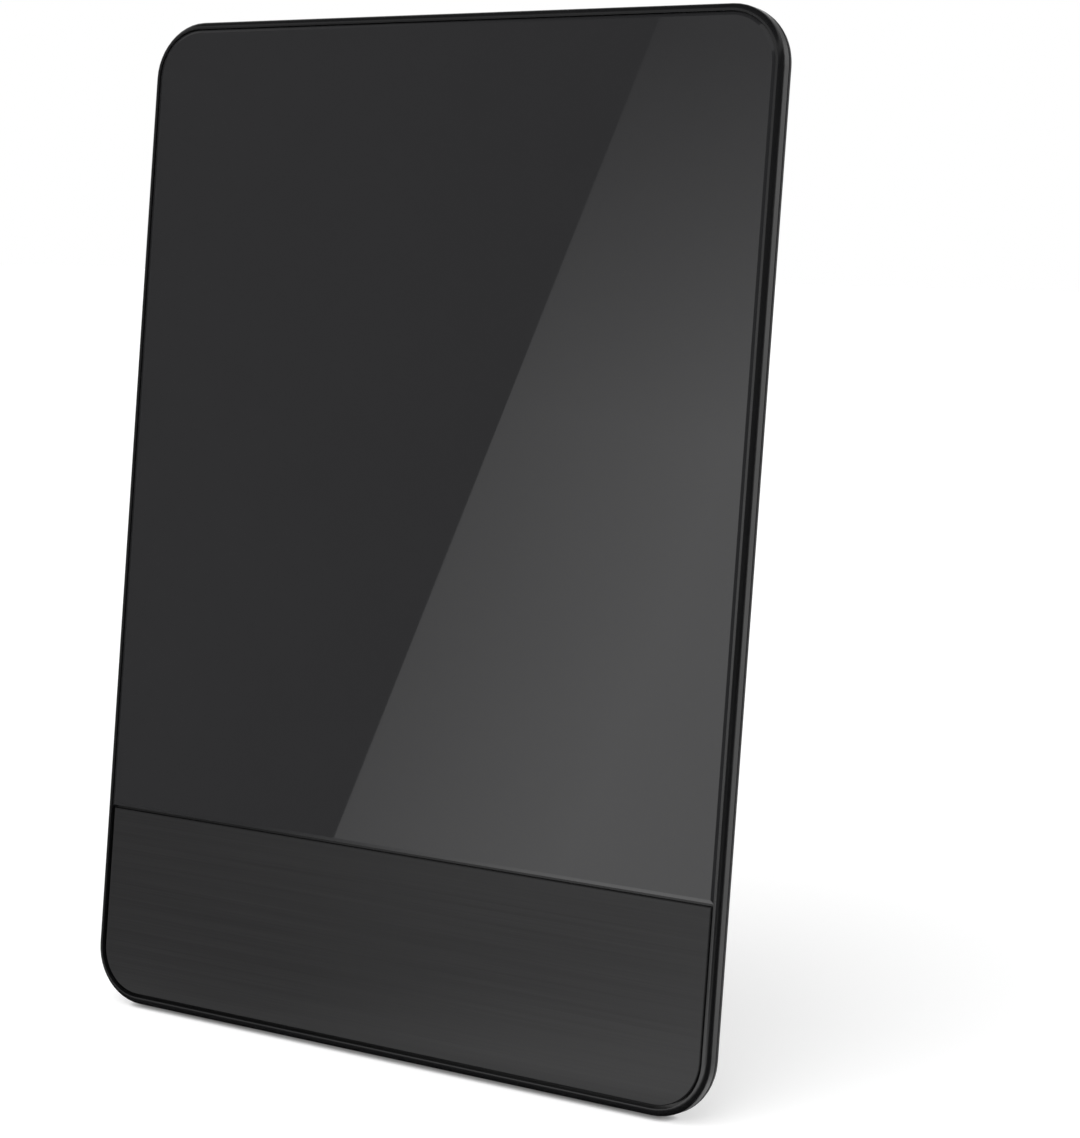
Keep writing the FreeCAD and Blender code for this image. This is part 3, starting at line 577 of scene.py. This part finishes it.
def screw_tree(sizes):
    """Screws with domed heads and cross recesses, one on each point, each turned differently."""
    tree, start, end = fresh_tree("Case screws", sizes)
    size = start.outputs
    height = size["Head Height"]
    depth = size["Recess Depth"]
    head = node(tree, "GeometryNodeMeshCylinder", {
        "Vertices": HEAD_SIDES, "Radius": size["Head Radius"], "Depth": height,
    }).outputs["Mesh"]
    head = shifted(tree, head, math_node(tree, "MULTIPLY", height, 0.5))
    dome = node(tree, "GeometryNodeMeshUVSphere", {
        "Segments": HEAD_SIDES, "Rings": DOME_RINGS, "Radius": size["Head Dome"],
    }).outputs["Mesh"]
    dome = shifted(tree, dome, math_node(tree, "SUBTRACT", height, size["Head Dome"]))
    head = joined(tree, "INTERSECT", head, [dome])
    half_sunk = math_node(tree, "MULTIPLY", depth, (1.0 - WING_RISE) / 2)
    sunk = math_node(tree, "SUBTRACT", height, half_sunk)
    reach = math_node(tree, "MULTIPLY", size["Recess Reach"], 2.0)
    deep = math_node(tree, "MULTIPLY", depth, 1.0 + WING_RISE)
    wing = tapered(tree, box_shape(tree, vector_of(tree, reach, size["Recess Width"], deep)), deep)
    wings = [shifted(tree, wing, sunk, turn) for turn in (0.0, math.pi / 2)]
    head = joined(tree, "DIFFERENCE", head, wings)
    shank = node(tree, "GeometryNodeMeshCylinder", {
        "Vertices": SHANK_SIDES, "Radius": size["Shank Radius"], "Depth": size["Shank Length"],
    }).outputs["Mesh"]
    shank = shifted(tree, shank, math_node(tree, "MULTIPLY", size["Shank Length"], -SHANK_DROP))
    screw = soft_shading(tree, joined(tree, "UNION", head, [shank]), SHARP_SCREW)
    turns = {2: 0.0, 3: math.tau, "Seed": size["Turn Seed"]}
    turn = node(tree, "FunctionNodeRandomValue", turns, data_type="FLOAT").outputs[1]
    placed = node(tree, "GeometryNodeInstanceOnPoints", {
        "Points": size["Geometry"], "Instance": screw, "Rotation": vector_of(tree, 0.0, 0.0, turn),
    })
    end_tree(tree, start, end, placed.outputs[0])
    return tree


def thread_tree(sizes):
    """Cut a right-hand thread into the outside of a turned barrel that stands along +Z."""
    tree, start, end = fresh_tree("Socket thread", sizes)
    size = start.outputs
    low = size["Low"]
    high = size["High"]
    pitch = size["Pitch"]
    place = node(tree, "GeometryNodeInputPosition").outputs[0]
    x, y, z = node(tree, "ShaderNodeSeparateXYZ", {0: place}).outputs
    turns = math_node(tree, "DIVIDE", math_node(tree, "ARCTAN2", y, x), math.tau)
    rise = math_node(tree, "DIVIDE", z, pitch)
    phase = math_node(tree, "FRACT", math_node(tree, "SUBTRACT", rise, turns))
    flank = math_node(tree, "ABSOLUTE", math_node(tree, "MULTIPLY_ADD", phase, 2.0, -1.0))
    valley = spread(tree, flank, 0.0, 1.0, *THREAD_FLANK)
    run_in = spread(tree, z, 0.0, 1.0, low, math_node(tree, "ADD", low, pitch), smooth=True)
    run_out = spread(tree, z, 1.0, 0.0, math_node(tree, "SUBTRACT", high, pitch), high, smooth=True)
    cut = math_node(tree, "MULTIPLY", valley, math_node(tree, "MULTIPLY", run_in, run_out))
    inward = math_node(tree, "MULTIPLY", math_node(tree, "MULTIPLY", cut, size["Depth"]), -1.0)
    flat = vector_of(tree, x, y, 0.0)
    radial = vector_math(tree, "NORMALIZE", flat)["Vector"]
    offset = vector_math(tree, "SCALE", radial, scale=inward)["Vector"]
    outside = over(tree, vector_math(tree, "LENGTH", flat)["Value"], size["Root"])
    inputs = {"Geometry": size["Geometry"], "Selection": outside, "Offset": offset}
    threaded = node(tree, "GeometryNodeSetPosition", inputs)
    end_tree(tree, start, end, soft_shading(tree, threaded.outputs[0], SHARP_THREAD))
    return tree


def screw_points():
    """Where the screws' heads sit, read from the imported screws, and how long their shanks are."""
    sizes = bpy.context.scene.antenna_fasteners
    corners = [v.co for v in NODES["case_screws"].data.vertices]
    across = [c.dot(RIGHT) for c in corners]
    depth = [c.dot(BACKWARD) for c in corners]
    height = [c.dot(UPWARD) for c in corners]
    side = max(across) - sizes.head_radius
    seat = max(depth) - sizes.head_height
    low = min(height) + sizes.head_radius
    high = max(height) - sizes.head_radius
    rows = (low, (low + high) / 2, high)
    places = [RIGHT * (x * side) + BACKWARD * seat + UPWARD * z for z in rows for x in (-1, 1)]
    return places, seat - min(depth)


def turned_socket():
    """Closed mesh of the socket's body along +Z from its inner end, before its thread is cut."""
    sizes = bpy.context.scene.antenna_fasteners
    along = [(v.co - SOCKET_MIDDLE).dot(BACKWARD) for v in NODES["output_socket"].data.vertices]
    top = max(along) - min(along)
    low = top - sizes.thread_free
    groove = low - sizes.relief_width
    flange_top = groove - sizes.flange_drop
    flange_low = flange_top - sizes.flange_height
    rows = [(0.0, sizes.socket_shank), (flange_low, sizes.socket_shank)]
    rows += [(flange_low, None), (flange_top, None)]
    rows += [(flange_top, SOCKET_RADIUS), (groove, SOCKET_RADIUS)]
    rows += [(groove, SOCKET_RADIUS - sizes.relief_depth), (low, SOCKET_RADIUS - sizes.relief_depth)]
    thread_top = top - sizes.socket_edge
    rows += [(low + (thread_top - low) * i / THREAD_ROWS, SOCKET_RADIUS) for i in range(THREAD_ROWS + 1)]
    rows += [(top, SOCKET_RADIUS - sizes.socket_edge)]
    rows += [(top, sizes.socket_bore), (0.0, sizes.socket_bore)]
    mesh = bmesh.new()
    rings = []
    for z, radius in rows:
        ring = []
        for i in range(SOCKET_SIDES):
            angle = math.tau * i / SOCKET_SIDES
            if radius is None:
                face_turn = (angle + math.pi / 6) % (math.pi / 3) - math.pi / 6
                reach = sizes.flange_across / 2 / math.cos(face_turn)
            else:
                reach = radius
            ring.append(mesh.verts.new((reach * math.cos(angle), reach * math.sin(angle), z)))
        rings.append(ring)
    for first, second in zip(rings, rings[1:] + rings[:1]):
        for i in range(SOCKET_SIDES):
            j = (i + 1) % SOCKET_SIDES
            mesh.faces.new((first[i], first[j], second[j], second[i]))
    bmesh.ops.recalc_face_normals(mesh, faces=mesh.faces)
    made = bpy.data.meshes.new("socket_body")
    mesh.to_mesh(made)
    mesh.free()
    return made, low, thread_top, min(along)


def merged_copy(name):
    """Copy of a CAD node's mesh with its triangles joined, and the normals of its face corners."""
    mesh = NODES[name].data.copy()
    kept = mesh.attributes.new("kept_normal", "FLOAT_VECTOR", "CORNER")
    for item, corner in zip(kept.data, mesh.corner_normals):
        item.vector = corner.vector
    work = bmesh.new()
    work.from_mesh(mesh)
    bmesh.ops.remove_doubles(work, verts=work.verts, dist=JOIN_REACH)
    work.to_mesh(mesh)
    work.free()
    kept = mesh.attributes["kept_normal"]
    normals = [item.vector.copy() for item in kept.data]
    mesh.attributes.remove(kept)
    return mesh, normals


def long_round():
    """Copy of the front frame whose outer round is longer, with its normals turned to match."""
    sizes = bpy.context.scene.antenna_rim
    mesh, normals = merged_copy("front_frame")
    to_panel = Matrix((RIGHT, UPWARD, BACKWARD))
    normals = [to_panel @ normal for normal in normals]
    places = [to_panel @ v.co for v in mesh.vertices]
    low = [min(axis) for axis in zip(*places)]
    high = [max(axis) for axis in zip(*places)]
    longer = sizes.round_depth / sizes.packed_round
    wider = {}
    for v, place in zip(mesh.vertices, places):
        core = [
            min(max(place[i], low[i] + sizes.corner_radius), high[i] - sizes.corner_radius)
            for i in range(2)
        ]
        outward_way = Vector((place.x - core[0], place.y - core[1], 0.0))
        inset = sizes.corner_radius - outward_way.length
        depth = place.z - low[2]
        if max(inset, depth) < sizes.packed_round * ROUND_MARGIN:
            outward_way.normalize()
            wider[v.index] = 1.0 + (sizes.round_end / sizes.packed_round - 1.0) * outward_way.y ** 2
            place -= outward_way * (inset * (wider[v.index] - 1.0))
            place.z += depth * (longer - 1.0)
            v.co = place @ to_panel
    for loop in mesh.loops:
        if loop.vertex_index in wider:
            across = wider[loop.vertex_index]
            x, y, z = normals[loop.index]
            normals[loop.index] = Vector((x / across, y / across, z / longer)).normalized()
    mesh.normals_split_custom_set([normal @ to_panel for normal in normals])
    return mesh


class ANTENNA_OT_build_frame(bpy.types.Operator):
    """Build the front frame with its long outer round"""

    bl_idname = "antenna.build_frame"
    bl_label = "Front frame"

    def execute(self, context):
        finish = context.scene.antenna_finishes
        satin = satin_black("satin_black", finish.frame_colour, finish.frame_roughness)
        dress(satin, "front_frame")
        piece_of("rounded_frame", long_round(), "panel", "frame_black", satin, "front_frame")
        return {"FINISHED"}


class ANTENNA_OT_dress_front(bpy.types.Operator):
    """Finish the polished panel, the brushed strip and the tapes behind them"""

    bl_idname = "antenna.dress_front"
    bl_label = "Front plates"

    def execute(self, context):
        finish = context.scene.antenna_finishes
        gloss = polished_black("polished_black", finish.panel_colour, finish.panel_roughness)
        dress(gloss, "front_panel")
        brushed = brushed_black("brushed_black", finish.trim_colour, finish.trim_roughness)
        dress(brushed, "trim_strip")
        tape = dull_plastic("adhesive_tape", finish.tape_colour, roughness=0.7, grain_size=0.6 * MM)
        dress(tape, "panel_tape", "trim_tape")
        return {"FINISHED"}


class ANTENNA_OT_dress_back(bpy.types.Operator):
    """Finish the rear cover and the pads under it"""

    bl_idname = "antenna.dress_back"
    bl_label = "Rear cover"

    def execute(self, context):
        finish = context.scene.antenna_finishes
        roughness = finish.cover_roughness
        eroded = eroded_black("eroded_cover", finish.cover_colour, roughness, grain_size=0.45 * MM)
        dress(eroded, "rear_cover")
        dress(moulded_rubber("pad_rubber", finish.rubber_colour), "base_pads", "leg_pad")
        return {"FINISHED"}


class ANTENNA_OT_dress_stand(bpy.types.Operator):
    """Finish the easel leg and its hinge pin"""

    bl_idname = "antenna.dress_stand"
    bl_label = "Easel leg"

    def execute(self, context):
        finish = context.scene.antenna_finishes
        eroded = eroded_black("eroded_leg", finish.leg_colour, roughness=0.46, grain_size=0.35 * MM)
        dress(eroded, "stand_leg")
        ground = plain_metal("ground_pin", finish.pin_colour, roughness=0.25, cloud_size=0.8 * MM)
        dress(ground, "hinge_pin")
        return {"FINISHED"}


class ANTENNA_OT_dress_inside(bpy.types.Operator):
    """Finish the boards, the loops and the amplifier inside the case"""

    bl_idname = "antenna.dress_inside"
    bl_label = "Inside"

    def execute(self, context):
        finish = context.scene.antenna_finishes
        dress(woven_board("solder_resist", finish.board_colour), "antenna_board", "amplifier_board")
        foil = plain_metal("copper_foil", finish.foil_colour, roughness=0.32, cloud_size=3.0 * MM)
        dress(foil, "left_radiator", "right_radiator")
        tinned = plain_metal("tinned_shield", finish.shield_colour, roughness=0.35, cloud_size=2.0 * MM)
        dress(tinned, "amplifier_shield")
        jacket = dull_plastic("cable_jacket", finish.jacket_colour, roughness=0.5, grain_size=0.4 * MM)
        dress(jacket, "feed_cable")
        return {"FINISHED"}


class ANTENNA_OT_build_screws(bpy.types.Operator):
    """Build the case screws with their cross recesses"""

    bl_idname = "antenna.build_screws"
    bl_label = "Case screws"

    def execute(self, context):
        sizes = context.scene.antenna_fasteners
        colour = context.scene.antenna_finishes.screw_colour
        places, shank = screw_points()
        to_back = outward(Vector())
        points = bpy.data.meshes.new("screw_places")
        points.from_pydata([to_back.inverted() @ place for place in places], [], [])
        values = {
            "Head Radius": sizes.head_radius,
            "Head Height": sizes.head_height,
            "Head Dome": sizes.head_dome,
            "Shank Radius": sizes.shank_radius,
            "Shank Length": shank,
            "Recess Reach": sizes.recess_reach,
            "Recess Width": sizes.recess_width,
            "Recess Depth": sizes.recess_depth,
            "Turn Seed": sizes.turn_seed,
        }
        steel = plain_metal("zinc_screw", colour, roughness=0.34, cloud_size=0.5 * MM)
        mesh = grow(points, screw_tree(values), values, steel)
        mesh.transform(to_back)
        piece_of("recessed_screws", mesh, "panel", "screw_steel", steel, "case_screws")
        return {"FINISHED"}


class ANTENNA_OT_build_socket(bpy.types.Operator):
    """Build the threaded socket and finish its core, contact, washer and nut"""

    bl_idname = "antenna.build_socket"
    bl_label = "Coaxial socket"

    def execute(self, context):
        sizes = context.scene.antenna_fasteners
        finish = context.scene.antenna_finishes
        body, low, high, inner = turned_socket()
        values = {
            "Pitch": sizes.thread_pitch,
            "Depth": sizes.thread_depth,
            "Low": low,
            "High": high,
            "Root": (sizes.socket_bore + SOCKET_RADIUS) / 2,
        }
        nickel = turned_metal("nickel_plating", finish.plating_colour, roughness=0.24, lines=2600.0)
        mesh = grow(body, thread_tree(values), values, nickel)
        mesh.transform(outward(SOCKET_MIDDLE + BACKWARD * inner))
        piece_of("threaded_socket", mesh, "panel", "nickel", nickel, "output_socket")
        dress(nickel, "socket_washer", "socket_nut")
        core = dull_plastic("socket_core", finish.insulator_colour, roughness=0.45, grain_size=0.5 * MM)
        dress(core, "socket_insulator")
        gilt = plain_metal("gilt_contact", finish.contact_colour, roughness=0.22, cloud_size=0.6 * MM)
        dress(gilt, "socket_contact")
        return {"FINISHED"}


def flat_card(name, corners):
    """Flat stage object with four corners."""
    mesh = bpy.data.meshes.new(name)
    mesh.from_pydata(corners, [], [(0, 1, 2, 3)])
    card = bpy.data.objects.new(name, mesh)
    bpy.context.scene.collection.objects.link(card)
    return card


def bare_material(name):
    """Material with an empty tree, and its output."""
    material = bpy.data.materials.new(name)
    material.use_nodes = True
    material.node_tree.nodes.clear()
    return material, material.node_tree, node(material.node_tree, "ShaderNodeOutputMaterial")


def seen_directly(tree):
    """1 where a ray comes from the camera or through clear matter, and the socket for gloss."""
    path = node(tree, "ShaderNodeLightPath").outputs
    direct = math_node(tree, "MAXIMUM", path["Is Camera Ray"], path["Is Transmission Ray"])
    return direct, path["Is Glossy Ray"]


def behind_left(tree, way):
    """1 for directions behind the object and to its left, 0 for those to its right and in front."""
    leftward = vector_math(tree, "DOT_PRODUCT", way, BEHIND_LEFT)["Value"]
    return spread(tree, leftward, 0.0, 1.0, *BEHIND_START, smooth=True)


def white_floor(stage):
    """Floor that is white to the camera and keeps the object's shadow, with a painted contact shadow and
    its own image in gloss.
    """
    half = stage.floor_half
    floor = flat_card("floor", [(-half, -half, 0), (half, -half, 0), (half, half, 0), (-half, half, 0)])
    material, tree, out = bare_material("white_floor")
    direct, glossy = seen_directly(tree)
    spot = node(tree, "ShaderNodeTexCoord").outputs["Object"]
    place = node(tree, "ShaderNodeSeparateXYZ", {0: spot}).outputs
    x = place["X"]
    y = place["Y"]
    rightward = spread(tree, x, stage.room_front, stage.sheet_light, *SHEET_LEFT, smooth=True)
    nearby = spread(tree, x, 1.0, 0.0, *SHEET_RIGHT, smooth=True)
    forward = spread(tree, y, 1.0, 0.0, *SHEET_BACK, smooth=True)
    sheet = math_node(tree, "MULTIPLY", math_node(tree, "MULTIPLY", rightward, nearby), forward)
    corner = vector_math(tree, "SUBTRACT", spot, FLOOR_CORNER)["Vector"]
    way = vector_math(tree, "NORMALIZE", corner)["Vector"]
    far = spread(tree, y, 0.0, 1.0, *FAR_FRONT, smooth=True)
    backward = math_node(tree, "MULTIPLY", behind_left(tree, way), far)
    outer = spread(tree, y, 0.0, stage.floor_near, *NEAR_FRONT, smooth=True)
    inner = spread(tree, y, 1.0, 0.0, *NEAR_BACK, smooth=True)
    edge = math_node(tree, "MULTIPLY", outer, inner)
    mirrored = math_node(tree, "MAXIMUM", math_node(tree, "MAXIMUM", sheet, edge), backward)
    shade = spread(tree, direct, 1.0, stage.floor_shade)
    colour = vector_math(tree, "SCALE", stage.floor_colour, scale=shade)["Vector"]
    paint = node(tree, "ShaderNodeBsdfDiffuse", {"Color": colour})
    # Painted contact shadow: an occlusion node darkens the floor's white glow and its mirrored image where
    # the object stands close
    contact = {"Distance": stage.painted_contact_reach}
    painted_contact_shade = node(tree, "ShaderNodeAmbientOcclusion", contact, samples=PAINTED_SHADE_SAMPLES).outputs["AO"]
    shown = math_node(tree, "MULTIPLY", direct, math_node(tree, "MULTIPLY", painted_contact_shade, stage.floor_glow))
    white = node(tree, "ShaderNodeEmission", {"Strength": shown})
    seen = node(tree, "ShaderNodeAddShader", {0: paint.outputs[0], 1: white.outputs[0]})
    reflected = math_node(tree, "MULTIPLY", mirrored, painted_contact_shade)
    image = node(tree, "ShaderNodeEmission", {"Strength": reflected})
    lit = node(tree, "ShaderNodeMixShader", {0: glossy, 1: seen.outputs[0], 2: image.outputs[0]})
    below = node(tree, "ShaderNodeNewGeometry").outputs["Backfacing"]
    clear = node(tree, "ShaderNodeBsdfTransparent")
    mix = node(tree, "ShaderNodeMixShader", {0: below, 1: lit.outputs[0], 2: clear.outputs[0]})
    tree.links.new(mix.outputs[0], out.inputs["Surface"])
    floor.data.materials.append(material)


def mirrored_card(stage):
    """Bright card to the left of the camera whose straight edge the polished panel mirrors."""
    low_x, low_z = CARD_EDGE_LOW
    high_x, high_z = CARD_EDGE_HIGH
    slope = (high_x - low_x) / (high_z - low_z)
    start = low_x - slope * low_z
    flat = [
        (start + slope * CARD_LOW, CARD_LOW),
        (CARD_FAR, CARD_LOW),
        (CARD_FAR, CARD_HIGH),
        (start + slope * CARD_HIGH, CARD_HIGH),
    ]
    card = flat_card("mirrored_card", [CARD_MIDDLE + CARD_ACROSS * x + CARD_RISE * z for x, z in flat])
    material, tree, out = bare_material("card_glow")
    place = node(tree, "ShaderNodeTexCoord").outputs["Object"]
    from_middle = vector_math(tree, "SUBTRACT", place, CARD_MIDDLE)["Vector"]
    x = vector_math(tree, "DOT_PRODUCT", from_middle, CARD_ACROSS)["Value"]
    z = vector_math(tree, "DOT_PRODUCT", from_middle, CARD_RISE)["Value"]
    from_edge = math_node(tree, "SUBTRACT", x, math_node(tree, "MULTIPLY_ADD", z, slope, start))
    inward = spread(tree, from_edge, CARD_EDGE_SHARE, 1.0, *CARD_EDGE_FADE)
    upward = spread(tree, z, 1.0, CARD_TOP_SHARE, *CARD_TOP_FADE)
    glow = math_node(tree, "MULTIPLY", math_node(tree, "MULTIPLY", inward, upward), stage.card_light)
    light = node(tree, "ShaderNodeEmission", {"Strength": glow})
    tree.links.new(light.outputs[0], out.inputs["Surface"])
    card.data.materials.append(material)
    card.visible_camera = False
    card.visible_diffuse = False
    card.visible_shadow = False
    card.visible_transmission = False


def studio_room(stage):
    """World: white behind the object, dim in front of it as gloss mirrors it, even for plain light."""
    world = bpy.data.worlds.new("studio")
    bpy.context.scene.world = world
    world.use_nodes = True
    tree = world.node_tree
    tree.nodes.clear()
    direct, glossy = seen_directly(tree)
    ray = node(tree, "ShaderNodeTexCoord").outputs["Generated"]
    way = node(tree, "ShaderNodeSeparateXYZ", {0: ray}).outputs
    behind = behind_left(tree, ray)
    low = spread(tree, way["Z"], 1.0, 0.0, *WALL_TOP, smooth=True)
    band = spread(tree, way["Z"], 0.0, stage.room_band, *BAND_START, smooth=True)
    top = spread(tree, way["Z"], 1.0, CEILING_SHARE, *BAND_END, smooth=True)
    left = spread(tree, way["X"], stage.room_front, stage.room_right, *ROOM_LEFT, smooth=True)
    front = math_node(tree, "MULTIPLY", math_node(tree, "MAXIMUM", left, band), top)
    around = math_node(tree, "MAXIMUM", front, math_node(tree, "MULTIPLY", behind, low))
    mirrored = math_node(tree, "MULTIPLY", glossy, around)
    plain = math_node(tree, "SUBTRACT", 1.0, math_node(tree, "MAXIMUM", direct, glossy))
    even = math_node(tree, "MULTIPLY", plain, stage.room_light)
    strength = math_node(tree, "ADD", direct, math_node(tree, "ADD", mirrored, even))
    sky = node(tree, "ShaderNodeBackground", {"Color": (1.0, 1.0, 1.0, 1.0), "Strength": strength})
    out = node(tree, "ShaderNodeOutputWorld")
    tree.links.new(sky.outputs[0], out.inputs["Surface"])


class ANTENNA_OT_set_stage(bpy.types.Operator):
    """Set the floor, the room, the lights and the camera"""

    bl_idname = "antenna.set_stage"
    bl_label = "Stage"

    def execute(self, context):
        scene = context.scene
        stage = scene.antenna_stage
        white_floor(stage)
        mirrored_card(stage)
        studio_room(stage)
        sun = bpy.data.lights.new("key", "SUN")
        sun.energy = stage.key_strength
        sun.angle = stage.key_softness
        key = bpy.data.objects.new("key", sun)
        key.rotation_euler = (math.pi / 2 - stage.key_rise, 0.0, -stage.key_turn)
        key.visible_glossy = False
        scene.collection.objects.link(key)
        lens = bpy.data.cameras.new("camera")
        lens.lens = stage.camera_lens
        lens.sensor_width = SENSOR_WIDTH
        lens.clip_start = CAMERA_NEAR
        camera = bpy.data.objects.new("camera", lens)
        camera.location = stage.camera_place
        camera.rotation_euler = (math.pi / 2 - stage.camera_dip, 0.0, stage.camera_turn)
        scene.collection.objects.link(camera)
        scene.camera = camera
        scene.view_settings.view_transform = "Standard"
        return {"FINISHED"}


class ANTENNA_PT_tools(bpy.types.Panel):
    """Sidebar panel that lists the pieces and their sizes"""

    bl_idname = "ANTENNA_PT_tools"
    bl_label = "Indoor TV antenna"
    bl_space_type = "VIEW_3D"
    bl_region_type = "UI"
    bl_category = "Antenna"

    def draw(self, context):
        for operator in OPERATORS:
            self.layout.operator(operator.bl_idname)
        for group in GROUPS:
            settings = getattr(context.scene, group)
            column = self.layout.column()
            for name in settings.bl_rna.properties.keys():
                if name not in ("rna_type", "name"):
                    column.prop(settings, name)


OPERATORS = (
    ANTENNA_OT_build_frame,
    ANTENNA_OT_dress_front,
    ANTENNA_OT_dress_back,
    ANTENNA_OT_dress_stand,
    ANTENNA_OT_dress_inside,
    ANTENNA_OT_build_screws,
    ANTENNA_OT_build_socket,
    ANTENNA_OT_set_stage,
)
GROUPS = {
    "antenna_finishes": AntennaFinishes,
    "antenna_rim": AntennaRim,
    "antenna_fasteners": AntennaFasteners,
    "antenna_stage": AntennaStage,
}


def register():
    for made in (*GROUPS.values(), *OPERATORS, ANTENNA_PT_tools):
        bpy.utils.register_class(made)
    for name, group in GROUPS.items():
        setattr(bpy.types.Scene, name, PointerProperty(type=group))


def unregister():
    for name in GROUPS:
        delattr(bpy.types.Scene, name)
    for made in reversed((*GROUPS.values(), *OPERATORS, ANTENNA_PT_tools)):
        bpy.utils.unregister_class(made)


def main():
    register()
    bpy.ops.antenna.build_frame()
    bpy.ops.antenna.dress_front()
    bpy.ops.antenna.dress_back()
    bpy.ops.antenna.dress_stand()
    bpy.ops.antenna.dress_inside()
    bpy.ops.antenna.build_screws()
    bpy.ops.antenna.build_socket()
    bpy.ops.antenna.set_stage()


if __name__ == "__main__":
    main()
